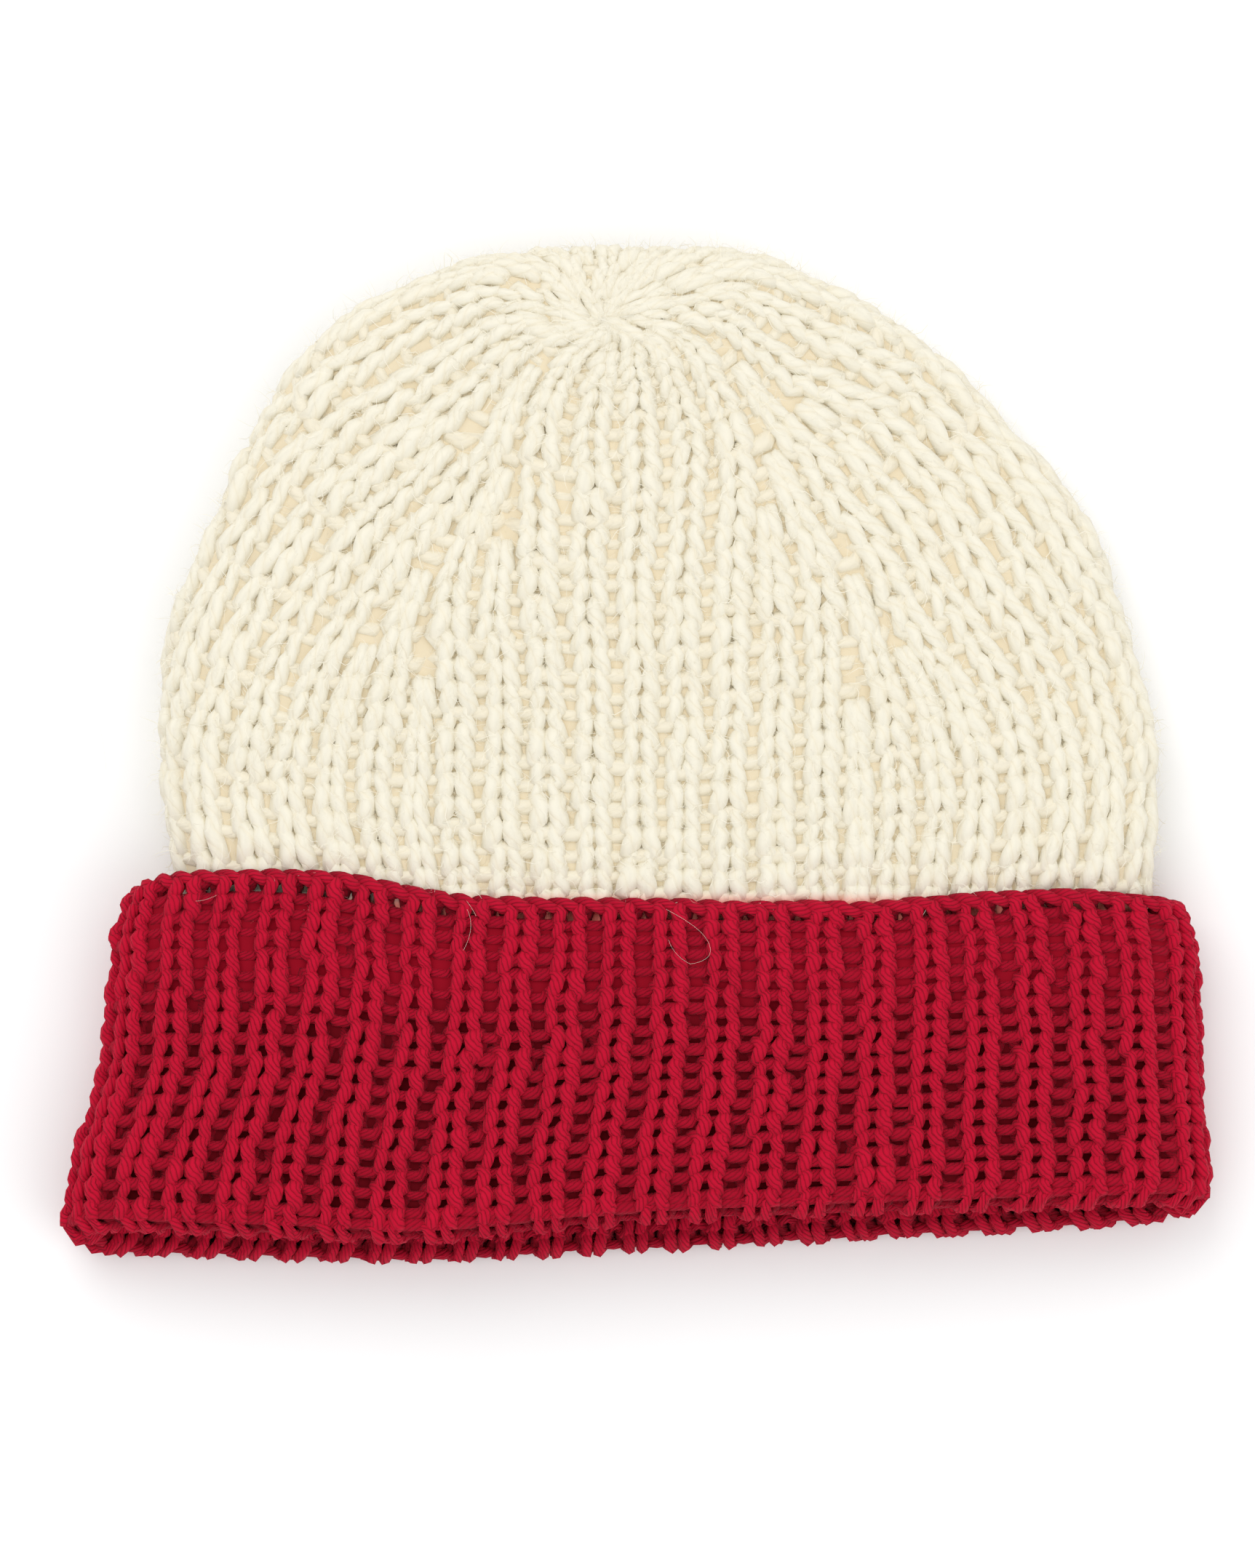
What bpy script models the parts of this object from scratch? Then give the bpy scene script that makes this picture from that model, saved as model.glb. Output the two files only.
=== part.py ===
"""A ribbed beanie of knitted wool, lying on its back with its cuff turned up.

Metres, +Z up. The beanie's foot, the cuff, is towards -Y and its gathered top towards +Y. It lies on
z = 0, with the origin under the middle of its box. It is two knitted pieces: the cream crown, a closed
cap in 1x1 rib, and the crimson cuff, a rib band that runs down inside, folds and comes back up outside.
"""

import math

import bmesh
import bpy
import numpy as np

# The knit. A ridge of the rib stands RIB_RELIEF out of the middle of the fabric, on either face.
RIBS = 48
KNIT_WALL = 0.0024
RIB_RELIEF = 0.0009

# The crown, measured as it lies: its widest place, from the cuff's edge to the top of its outline, how
# far it stands up over the cuff's inner layer, and how far it goes down into the cuff to its seam.
CROWN_WIDTH = 0.2196
CROWN_LENGTH = 0.1452
CROWN_PUFF = 0.0028
CROWN_TUCK = 0.0127
GATHER_DIMPLE = 0.0012

# The cuff: how much wider than the crown it is at the fold, its turned-up height in front, and how
# far its back hangs lower.
CUFF_FLARE = 0.0308
CUFF_HEIGHT = 0.0710
CUFF_TILT = 0.0021
BACK_DROP = 0.0073
BACK_EDGE_DROP = 0.0035
HEAD_GAP = 0.0110
LAYER_GAP = 0.0008
SEAM_GAP = 0.0003
CUFF_CAMBER = 0.0030

# Where the cuff's back rests, its ridges are pressed flat by this much.
REST_PRESS = 0.0005

# Worked out from the sizes above: half the depth of one ribbed layer, from one layer to the next, the
# heights of the cuff's inner layer behind and in front, and the depth of the crown's middle surface.
LAYER_HALF = KNIT_WALL / 2 + RIB_RELIEF
LAYER_PITCH = 2 * LAYER_HALF + LAYER_GAP
FOLD_RADIUS = LAYER_PITCH / 2
REST_HEIGHT = LAYER_HALF - REST_PRESS
CUFF_INNER_BACK_Z = REST_HEIGHT + LAYER_PITCH
CUFF_INNER_FRONT_Z = CUFF_INNER_BACK_Z + 2 * LAYER_HALF + HEAD_GAP
CROWN_LOFT = CUFF_INNER_FRONT_Z - LAYER_HALF + CROWN_PUFF
CUFF_WIDTH = CROWN_WIDTH + CUFF_FLARE
EDGE_Y = (CUFF_HEIGHT + BACK_DROP + CUFF_TILT - CROWN_LENGTH) / 2
SEAM_FRONT_Y = EDGE_Y - CROWN_TUCK
SEAM_BACK_Y = EDGE_Y - BACK_EDGE_DROP - CROWN_TUCK + SEAM_GAP

# Sections of the crown from the seam to the gathered top. Each is one loop round the head: where it
# crosses the front and the back, how wide it is to each side, how round its ends are, how far its
# sides run ahead of its middle, and how much its front is domed. share runs along the knit. front,
# back and lift are shares of CROWN_LENGTH from the cuff's edge, the heights and camber of CROWN_LOFT,
# and left, right and ends of CROWN_WIDTH.
CROWN_COLUMNS = "share front front_z back back_z left right ends lift camber".split()
CROWN_SECTIONS = [
    (0.10, 0.006, 0.920, 0.023, 0.200, 0.456, 0.511, 0.045, 0.012, 0.15),
    (0.22, 0.119, 0.955, 0.181, 0.025, 0.468, 0.515, 0.075, 0.075, 0.19),
    (0.36, 0.257, 0.985, 0.367, 0.005, 0.463, 0.486, 0.115, 0.085, 0.22),
    (0.50, 0.395, 1.000, 0.550, 0.005, 0.413, 0.437, 0.160, 0.115, 0.22),
    (0.63, 0.522, 1.000, 0.719, 0.005, 0.357, 0.331, 0.205, 0.143, 0.20),
    (0.74, 0.629, 0.990, 0.860, 0.030, 0.294, 0.251, 0.225, 0.115, 0.16),
    (0.83, 0.715, 0.965, 0.957, 0.195, 0.213, 0.180, 0.200, 0.073, 0.10),
    (0.90, 0.784, 0.930, 0.984, 0.500, 0.152, 0.116, 0.140, 0.045, 0.04),
    (0.96, 0.839, 0.890, 0.943, 0.745, 0.089, 0.049, 0.070, 0.014, 0.00),
    (1.00, 0.877, 0.850, 0.884, 0.830, 0.036, -0.030, 0.003, 0.000, 0.00),
]

# Where the soft crown gives way: share along the knit, place across as a share of the half width,
# depth as a share of CROWN_LOFT, and reach as a share of CROWN_WIDTH.
CROWN_DENTS = [
    (0.70, -0.46, 0.110, 0.055),
    (0.52, 0.30, 0.055, 0.090),
    (0.34, -0.35, 0.045, 0.080),
    (0.84, 0.35, 0.060, 0.045),
]

# The cuff's ends from the fold (0) to the seam (1) inside, and to the top edge (1) outside, as shares
# of CUFF_WIDTH to the left and to the right.
CUFF_INSIDE = [
    (0.00, 0.4795, 0.4780),
    (0.30, 0.4500, 0.4650),
    (0.60, 0.4190, 0.4540),
    (0.85, 0.4040, 0.4475),
    (1.00, 0.4010, 0.4460),
]
CUFF_OUTSIDE = [
    (0.00, 0.4995, 0.4980),
    (0.10, 0.4955, 0.4990),
    (0.22, 0.4870, 0.4950),
    (0.40, 0.4685, 0.4910),
    (0.65, 0.4590, 0.4900),
    (0.88, 0.4520, 0.4865),
    (1.00, 0.4410, 0.4770),
]

# How the cuff's lines wander across its width, from its left end (-1) to its right end (1): its top
# edge, its fold in front and its fold behind, as shares of CUFF_HEIGHT.
CUFF_LINES = [
    (-1.00, 0.085, -0.017, -0.005),
    (-0.60, 0.080, -0.045, -0.024),
    (-0.42, 0.025, -0.058, -0.030),
    (0.00, 0.005, 0.000, 0.000),
    (0.35, -0.007, 0.025, 0.035),
    (0.80, 0.030, 0.050, 0.075),
    (1.00, 0.010, 0.060, 0.100),
]

# Rows of faces. The crown's top rows have fewer stitches, as the knitter decreases them: each has its
# share along the knit, and how many of the points of the rows below share one point there.
CROWN_ROWS = (0.0, 0.05, 0.10, 0.16, 0.22, 0.29, 0.37, 0.45, 0.53, 0.61, 0.69, 0.76, 0.82, 0.87, 0.915)
CROWN_TOP_ROWS = ((0.955, 2), (0.985, 4))
CUFF_INSIDE_ROWS = (1.0, 0.82, 0.4)
CUFF_FOLD_TURNS = (0.0, 0.25, 0.5, 0.75, 1.0)
CUFF_OUTSIDE_ROWS = (0.35, 0.72, 1.0)
POINTS_PER_RIB = 2
LOOP_SAMPLES = 90

CREAM = (0.86, 0.82, 0.70, 1)
CRIMSON = (0.42, 0.008, 0.030, 1)


def read_table(table, share):
    """Every column after the first, at a share that may lie between rows, on a smooth curve."""
    rows = np.array(table)
    at, values = rows[:, 0], rows[:, 1:]
    slopes = np.gradient(values, at, axis=0)
    row = int(np.clip(np.searchsorted(at, share, side="right") - 1, 0, len(at) - 2))
    step = at[row + 1] - at[row]
    t = (share - at[row]) / step
    start = (1 + 2 * t) * (1 - t) ** 2 * values[row] + t * (1 - t) ** 2 * step * slopes[row]
    end = t * t * (3 - 2 * t) * values[row + 1] + t * t * (t - 1) * step * slopes[row + 1]
    return start + end


def cuff_lines(across):
    """The y of the cuff's top edge, front fold and back fold, at a place across its width."""
    top, front, back = read_table(CUFF_LINES, across) * CUFF_HEIGHT
    fold_y = EDGE_Y - CUFF_HEIGHT + LAYER_HALF
    return EDGE_Y + top, fold_y + front, fold_y - BACK_DROP + back


def slab_loop(half, ends):
    """Points round a flat slab with rounded ends, as x from its middle and front.

    front runs from -1 on the back to 1 on the front. The loop starts at the middle of the front and
    goes round by the right.
    """
    flat = half - ends
    steps = np.linspace(0, 1, LOOP_SAMPLES)
    turns = math.pi * steps
    ones = np.ones(LOOP_SAMPLES)
    right_end = flat + ends * np.sin(turns)
    x = [flat * steps, right_end, flat * (1 - 2 * steps), -right_end, flat * (steps - 1)]
    front = [ones, np.cos(turns), -ones, -np.cos(turns), ones]
    return np.concatenate(x), np.concatenate(front)


def place_loop(section, points):
    """The loop of a section in space, as points at equal steps along its length."""
    half = (section["left"] + section["right"]) / 2
    x, front = slab_loop(half, min(section["ends"], half))
    across = x / half
    front = (1 + front) / 2
    domed = section["front_z"] - section["camber"] * across**2
    line = np.stack(
        [
            (section["right"] - section["left"]) / 2 + x,
            section["front"](across) * front + section["back"](across) * (1 - front),
            domed * front + section["back_z"] * (1 - front),
        ],
        axis=1,
    )
    steps = np.linalg.norm(np.diff(line, axis=0), axis=1)
    along = np.concatenate([[0], np.cumsum(steps)])
    wanted = along[-1] * np.arange(points) / points
    return np.stack([np.interp(wanted, along, line[:, axis]) for axis in range(3)], axis=1)


def cuff_section(left, right, y_lines, out):
    """A loop of the cuff that lies out from its inner layer by this much."""
    front_line, back_line = y_lines
    back_z = CUFF_INNER_BACK_Z - out
    front_z = CUFF_INNER_FRONT_Z + out
    return {
        "left": left,
        "right": right,
        "ends": (front_z - back_z) / 2,
        "front": front_line,
        "back": back_line,
        "front_z": front_z,
        "back_z": back_z,
        "camber": CUFF_CAMBER,
    }


def cuff_line(pick):
    """A function that reads one of cuff_lines for a whole loop of places across."""
    return lambda across: np.array([cuff_lines(place)[pick] for place in across])


def between(start, end, share):
    """A line that lies this share of the way from one line of the cuff to another."""
    return lambda across: start(across) * (1 - share) + end(across) * share


def level(y):
    """A straight line across at one y."""
    return lambda across: np.full(len(across), y)


def raised(line, height):
    """A line moved towards the top of the hat."""
    return lambda across: line(across) + height


FRONT_EDGE = cuff_line(0)
FRONT_FOLD = cuff_line(1)
BACK_FOLD = cuff_line(2)
BACK_EDGE = level(EDGE_Y - BACK_EDGE_DROP)


def cuff_inside(share, lowered=0.0):
    """The loop of the inner layer, from the fold's start (0) to the seam (1)."""
    left, right = read_table(CUFF_INSIDE, share) * CUFF_WIDTH
    front = between(raised(FRONT_FOLD, FOLD_RADIUS), level(SEAM_FRONT_Y - lowered), share)
    back = between(raised(BACK_FOLD, FOLD_RADIUS), level(SEAM_BACK_Y - lowered), share)
    return cuff_section(left, right, (front, back), 0.0)


def cuff_outside(share):
    """The loop of the turned-up layer, from the fold's end (0) to the top edge (1)."""
    left, right = read_table(CUFF_OUTSIDE, share) * CUFF_WIDTH
    front = between(raised(FRONT_FOLD, FOLD_RADIUS), FRONT_EDGE, share)
    back = between(raised(BACK_FOLD, FOLD_RADIUS), BACK_EDGE, share)
    return cuff_section(left, right, (front, back), LAYER_PITCH)


def cuff_fold(turn):
    """The loop of the fold, from the inner layer (0) round its foot to the outer layer (1)."""
    angle = math.pi * turn
    out = FOLD_RADIUS * (1 - math.cos(angle))
    height = FOLD_RADIUS * (1 - math.sin(angle))
    inner = read_table(CUFF_INSIDE, 0) * CUFF_WIDTH
    outer = read_table(CUFF_OUTSIDE, 0) * CUFF_WIDTH
    left, right = inner + (outer - inner) * out / LAYER_PITCH
    lines = raised(FRONT_FOLD, height), raised(BACK_FOLD, height)
    return cuff_section(left, right, lines, out)


def crown_section(share):
    """The loop of the crown at a share of the way from the seam to the gathered top."""
    seam = cuff_inside(1.0)
    first = [
        0.0,
        (SEAM_FRONT_Y - EDGE_Y) / CROWN_LENGTH,
        (seam["front_z"] - LAYER_HALF) / CROWN_LOFT,
        (SEAM_BACK_Y - EDGE_Y) / CROWN_LENGTH,
        (seam["back_z"] - LAYER_HALF) / CROWN_LOFT,
        seam["left"] / CROWN_WIDTH,
        seam["right"] / CROWN_WIDTH,
        seam["ends"] / CROWN_WIDTH,
        0.0,
        CUFF_CAMBER / CROWN_LOFT,
    ]
    row = dict(zip(CROWN_COLUMNS[1:], read_table([first, *CROWN_SECTIONS], share)))
    lift = row["lift"] * CROWN_LENGTH

    def arched(y):
        return lambda across: EDGE_Y + y * CROWN_LENGTH + lift * across**2

    return {
        "left": row["left"] * CROWN_WIDTH,
        "right": row["right"] * CROWN_WIDTH,
        "ends": row["ends"] * CROWN_WIDTH,
        "front": arched(row["front"]),
        "back": arched(row["back"]),
        "front_z": LAYER_HALF + row["front_z"] * CROWN_LOFT,
        "back_z": LAYER_HALF + row["back_z"] * CROWN_LOFT,
        "camber": row["camber"] * CROWN_LOFT,
    }


def dent_crown(points):
    """Presses the front of the crown down in its dents."""
    for share, across, depth, reach in CROWN_DENTS:
        section = crown_section(share)
        half = (section["left"] + section["right"]) / 2
        x = (section["right"] - section["left"]) / 2 + across * half
        y = section["front"](np.array([across]))[0]
        middle = (section["front_z"] + section["back_z"]) / 2
        away = np.hypot(points[:, 0] - x, points[:, 1] - y) / (reach * CROWN_WIDTH)
        on_front = points[:, 2] > middle
        points[on_front, 2] -= depth * CROWN_LOFT * np.exp(-away[on_front] ** 2)


def knit_shell(name, rings, relief, material):
    """A knitted wall through rings of points. Rings may halve their count, and a ring of one closes it."""
    mesh = bpy.data.meshes.new(name)
    shell = bmesh.new()
    made = [[shell.verts.new(point) for point in ring] for ring in rings]
    for lower, upper in zip(made, made[1:]):
        count = len(lower)
        for number in range(count):
            after = (number + 1) % count
            if len(upper) == count:
                shell.faces.new((lower[number], lower[after], upper[after], upper[number]))
            elif len(upper) == 1:
                shell.faces.new((lower[number], lower[after], upper[0]))
            else:
                near = upper[number // 2]
                far = upper[(number // 2 + number % 2) % len(upper)]
                corners = (lower[number], lower[after], near)
                if far is near:
                    shell.faces.new(corners)
                else:
                    shell.faces.new((lower[number], lower[after], far, near))
    shell.normal_update()
    outward = [[point.normal.copy() for point in ring] for ring in made]
    for ring, normals, depth in zip(made, outward, relief):
        for number, (point, normal) in enumerate(zip(ring, normals)):
            point.co += normal * depth * (1 if number % POINTS_PER_RIB == 0 else -1)
    shell.to_mesh(mesh)
    shell.free()
    piece = bpy.data.objects.new(name, mesh)
    mesh.materials.append(material)
    wall = piece.modifiers.new("Knit wall", "SOLIDIFY")
    wall.thickness = KNIT_WALL
    wall.offset = 0
    mesh.shade_smooth()
    return piece


def wool(name, colour):
    """Plain matt wool."""
    material = bpy.data.materials.new(name)
    material.use_nodes = True
    shader = material.node_tree.nodes["Principled BSDF"]
    shader.inputs["Base Color"].default_value = colour
    shader.inputs["Roughness"].default_value = 0.9
    shader.inputs["Metallic"].default_value = 0.0
    return material


def crown():
    """The cream cap: rings from the seam to the gathered top, ribbed until its stitches are decreased."""
    around = RIBS * POINTS_PER_RIB
    rings = [place_loop(crown_section(share), around) for share in CROWN_ROWS]
    for share, merged in CROWN_TOP_ROWS:
        rings.append(place_loop(crown_section(share), around // merged))
    top = place_loop(crown_section(1.0), around // merged).mean(axis=0)
    rings.append(np.array([top - (0, 0, GATHER_DIMPLE)]))
    for ring in rings:
        dent_crown(ring)
    relief = [RIB_RELIEF] * len(CROWN_ROWS) + [0] * (len(CROWN_TOP_ROWS) + 1)
    return knit_shell("crown", rings, relief, wool("cream wool", CREAM))


def cuff():
    """The crimson band: down inside from the seam, round the fold and up outside to its edge."""
    around = RIBS * POINTS_PER_RIB
    loops = [cuff_inside(share, SEAM_GAP * share) for share in CUFF_INSIDE_ROWS]
    loops += [cuff_fold(turn) for turn in CUFF_FOLD_TURNS]
    loops += [cuff_outside(share) for share in CUFF_OUTSIDE_ROWS]
    rings = [place_loop(loop, around) for loop in loops]
    return knit_shell("cuff", rings, [-RIB_RELIEF] * len(rings), wool("crimson wool", CRIMSON))


def floor_cutter():
    """A block under z = 0 that presses the cuff's lowest ridges flat."""
    bpy.ops.mesh.primitive_cube_add(size=1, location=(0, 0, -CUFF_HEIGHT / 2))
    cutter = bpy.context.object
    cutter.name = "floor"
    cutter.scale = (2 * CUFF_WIDTH, 2 * CUFF_WIDTH, CUFF_HEIGHT)
    bpy.ops.object.transform_apply(location=True, rotation=False, scale=True)
    cutter.hide_render = True
    cutter.display_type = "WIRE"
    return cutter


def collect(name, objects):
    """Puts objects in a collection of their own."""
    group = bpy.data.collections.new(name)
    bpy.context.scene.collection.children.link(group)
    for piece in objects:
        for old in list(piece.users_collection):
            old.objects.unlink(piece)
        group.objects.link(piece)


for old in list(bpy.data.objects):
    bpy.data.objects.remove(old)
crown_piece = crown()
cuff_piece = cuff()
floor = floor_cutter()
pressed = cuff_piece.modifiers.new("Resting ridges", "BOOLEAN")
pressed.operation = "DIFFERENCE"
pressed.object = floor
collect("ribbed_beanie", [crown_piece, cuff_piece])
collect("cutters", [floor])
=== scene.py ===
import math

import bpy
import numpy as np
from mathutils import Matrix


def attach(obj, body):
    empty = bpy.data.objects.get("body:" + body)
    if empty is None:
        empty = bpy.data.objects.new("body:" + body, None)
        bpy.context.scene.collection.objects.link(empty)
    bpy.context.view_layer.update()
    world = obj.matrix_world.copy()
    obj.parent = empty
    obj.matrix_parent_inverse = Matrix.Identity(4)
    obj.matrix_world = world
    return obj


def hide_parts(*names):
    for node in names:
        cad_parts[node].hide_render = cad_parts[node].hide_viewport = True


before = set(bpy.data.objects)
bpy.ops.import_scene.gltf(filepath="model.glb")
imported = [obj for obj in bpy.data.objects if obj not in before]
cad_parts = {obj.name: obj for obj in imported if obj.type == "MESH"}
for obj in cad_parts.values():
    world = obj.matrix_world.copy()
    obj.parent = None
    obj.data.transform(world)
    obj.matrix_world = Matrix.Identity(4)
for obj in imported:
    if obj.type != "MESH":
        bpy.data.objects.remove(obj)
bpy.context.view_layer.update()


# The crimson cuff's turned-up layer. It is hand-knitted in 1x1 rib from plied worsted wool, from the
# cast-on edge at the top down to the fold, and lies outside the inner layer. Its knit is built as real
# loops of yarn on the same middle surface as the solid of the cuff. The sizes are the CAD's, in metres.
LAYER_HALF = 0.0021
LAYER_PITCH = 0.0050
FOLD_RADIUS = LAYER_PITCH / 2
INNER_BACK_Z = 0.0066
INNER_FRONT_Z = 0.0218
CROWN_WIDTH = 0.2196
CROWN_LENGTH = 0.1452
CROWN_TUCK = 0.0127
CUFF_WIDTH = 0.2504
CUFF_HEIGHT = 0.0710
CUFF_CAMBER = 0.0030
BACK_DROP = 0.0073
BACK_EDGE_DROP = 0.0035
EDGE_Y = -0.0324
LOOP_SAMPLES = 90
AROUND_STEPS = 192
RIBS = 48

# Up the cuff's inner layer, and then its outer one: the share of the way, and how far the layer reaches
# to the left and to the right as shares of the cuff's width.
CUFF_INSIDE = [
    (0.00, 0.4795, 0.4780),
    (0.30, 0.4500, 0.4650),
    (0.60, 0.4190, 0.4540),
    (0.85, 0.4040, 0.4475),
    (1.00, 0.4010, 0.4460),
]
CUFF_OUTSIDE = [
    (0.00, 0.4995, 0.4980),
    (0.10, 0.4955, 0.4990),
    (0.22, 0.4870, 0.4950),
    (0.40, 0.4685, 0.4910),
    (0.65, 0.4590, 0.4900),
    (0.88, 0.4520, 0.4865),
    (1.00, 0.4410, 0.4770),
]
# Across its width, the cuff's top edge, front fold and back fold, as shares of its height.
CUFF_LINES = [
    (-1.00, 0.085, -0.017, -0.005),
    (-0.60, 0.080, -0.045, -0.024),
    (-0.42, 0.025, -0.058, -0.030),
    (0.00, 0.005, 0.000, 0.000),
    (0.35, -0.007, 0.025, 0.035),
    (0.80, 0.030, 0.050, 0.075),
    (1.00, 0.010, 0.060, 0.100),
]


def read_table(table, share):
    """Every column after the first, at a share that may lie between rows, on a smooth curve."""
    rows = np.array(table)
    at, values = rows[:, 0], rows[:, 1:]
    slopes = np.gradient(values, at, axis=0)
    row = int(np.clip(np.searchsorted(at, share, side="right") - 1, 0, len(at) - 2))
    step = at[row + 1] - at[row]
    t = (share - at[row]) / step
    start = (1 + 2 * t) * (1 - t) ** 2 * values[row] + t * (1 - t) ** 2 * step * slopes[row]
    end = t * t * (3 - 2 * t) * values[row + 1] + t * t * (t - 1) * step * slopes[row + 1]
    return start + end


def slab_loop(half, ends):
    """Points round a flat slab with rounded ends, as x from its middle and front, from -1 to 1."""
    flat = half - ends
    steps = np.linspace(0, 1, LOOP_SAMPLES)
    turns = math.pi * steps
    ones = np.ones(LOOP_SAMPLES)
    right_end = flat + ends * np.sin(turns)
    x = [flat * steps, right_end, flat * (1 - 2 * steps), -right_end, flat * (steps - 1)]
    front = [ones, np.cos(turns), -ones, -np.cos(turns), ones]
    return np.concatenate(x), np.concatenate(front)


def place_loop(section, shares):
    """A section's loop, read at shares of its length that start behind and pass the left end first."""
    half = (section["left"] + section["right"]) / 2
    x, front = slab_loop(half, min(section["ends"], half))
    across = x / half
    front = (1 + front) / 2
    domed = section["front_z"] - section["camber"] * across**2
    line = np.stack(
        [
            (section["right"] - section["left"]) / 2 + x,
            section["front"](across) * front + section["back"](across) * (1 - front),
            domed * front + section["back_z"] * (1 - front),
        ],
        axis=1,
    )
    steps = np.linalg.norm(np.diff(line, axis=0), axis=1)
    along = np.concatenate([[0], np.cumsum(steps)])
    wanted = along[-1] * np.mod(shares - 0.5, 1)
    return np.stack([np.interp(wanted, along, line[:, axis]) for axis in range(3)], axis=1)


def cuff_section(left, right, y_lines, out):
    """A loop of the cuff that lies out from its inner layer by this much."""
    return {
        "left": left,
        "right": right,
        "ends": (INNER_FRONT_Z - INNER_BACK_Z + 2 * out) / 2,
        "front": y_lines[0],
        "back": y_lines[1],
        "front_z": INNER_FRONT_Z + out,
        "back_z": INNER_BACK_Z - out,
        "camber": CUFF_CAMBER,
    }


def cuff_line(pick, base, raised=0.0):
    """A line across the cuff from its table, moved towards the top of the hat."""
    return lambda across: np.array(
        [base + raised + CUFF_HEIGHT * read_table(CUFF_LINES, place)[pick] for place in across]
    )


def level(y):
    """A straight line across."""
    return lambda across: np.full(len(across), y)


def between(start, end, share):
    """A line this share of the way from one line to another."""
    return lambda across: start(across) * (1 - share) + end(across) * share


FOLD_Y = EDGE_Y - CUFF_HEIGHT + LAYER_HALF
FRONT_START = cuff_line(1, FOLD_Y, FOLD_RADIUS)
BACK_START = cuff_line(2, FOLD_Y - BACK_DROP, FOLD_RADIUS)
FRONT_EDGE = cuff_line(0, EDGE_Y)
BACK_EDGE = level(EDGE_Y - BACK_EDGE_DROP)


def cuff_outside(share):
    """The loop of the turned-up layer, from the fold's end (0) to the top edge (1)."""
    left, right = read_table(CUFF_OUTSIDE, share) * CUFF_WIDTH
    lines = between(FRONT_START, FRONT_EDGE, share), between(BACK_START, BACK_EDGE, share)
    return cuff_section(left, right, lines, LAYER_PITCH)


def cuff_fold(turn):
    """The loop of the fold, from the inner layer (0) round its foot to the outer layer (1)."""
    angle = math.pi * turn
    out = FOLD_RADIUS * (1 - math.cos(angle))
    height = FOLD_RADIUS * (1 - math.sin(angle))
    inner = read_table(CUFF_INSIDE, 0) * CUFF_WIDTH
    outer = read_table(CUFF_OUTSIDE, 0) * CUFF_WIDTH
    left, right = inner + (outer - inner) * out / LAYER_PITCH
    lines = cuff_line(1, FOLD_Y, height), cuff_line(2, FOLD_Y - BACK_DROP, height)
    return cuff_section(left, right, lines, out)


def cuff_inside(share):
    """The loop of the inner layer, from the fold's start (0) to the seam (1)."""
    left, right = read_table(CUFF_INSIDE, share) * CUFF_WIDTH
    front = between(FRONT_START, level(EDGE_Y - CROWN_TUCK), share)
    back = between(BACK_START, level(EDGE_Y - BACK_EDGE_DROP - CROWN_TUCK), share)
    return cuff_section(left, right, (front, back), 0.0)


def eased(shares, stretch, place):
    """Shares round the loop, with the ribs spread wider by this share about one place."""
    wave = np.sin(2 * math.pi * (shares - place)) + math.sin(2 * math.pi * place)
    return shares + stretch / (2 * math.pi) * (wave - wave[0])


def knit_surface(name, rows, outward):
    """The middle surface of a knitted layer, charted by a UV map: across is the share round the head,
    up is the share along the knit. rows are (share along, loop of points)."""
    along = [share for share, _ in rows]
    grid = np.array([loop for _, loop in rows])
    count_up, count_round = grid.shape[:2]
    ahead = np.roll(grid[:, :-1], -1, axis=1) - np.roll(grid[:, :-1], 1, axis=1)
    ahead = np.concatenate([ahead, ahead[:, :1]], axis=1)
    facing = np.cross(ahead, np.gradient(grid, axis=0)) * outward
    facing /= np.linalg.norm(facing, axis=2, keepdims=True)
    mesh = bpy.data.meshes.new(name)
    index = np.arange(count_up * count_round).reshape(count_up, count_round)
    quads = np.stack([index[:-1, :-1], index[:-1, 1:], index[1:, 1:], index[1:, :-1]], axis=-1)
    mesh.from_pydata(grid.reshape(-1, 3).tolist(), [], quads.reshape(-1, 4).tolist())
    chart = np.stack(
        np.meshgrid(np.linspace(0, 1, count_round), np.array(along)), axis=-1
    ).reshape(-1, 2)
    layer = mesh.uv_layers.new(name="chart")
    corners = np.empty(len(mesh.loops), np.int32)
    mesh.loops.foreach_get("vertex_index", corners)
    layer.data.foreach_set("uv", chart[corners].ravel())
    kept = mesh.attributes.new("facing", "FLOAT_VECTOR", "POINT")
    kept.data.foreach_set("vector", facing.ravel())
    surface = bpy.data.objects.new(name, mesh)
    bpy.context.scene.collection.objects.link(surface)
    return surface


def node_tree(name, inputs):
    """An empty Geometry Nodes tree with these named inputs and a geometry output."""
    tree = bpy.data.node_groups.new(name, "GeometryNodeTree")
    for label, kind, value in inputs:
        socket = tree.interface.new_socket(label, in_out="INPUT", socket_type="NodeSocket" + kind)
        if value is not None:
            socket.default_value = value
    tree.interface.new_socket("Geometry", in_out="OUTPUT", socket_type="NodeSocketGeometry")
    return tree


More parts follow.
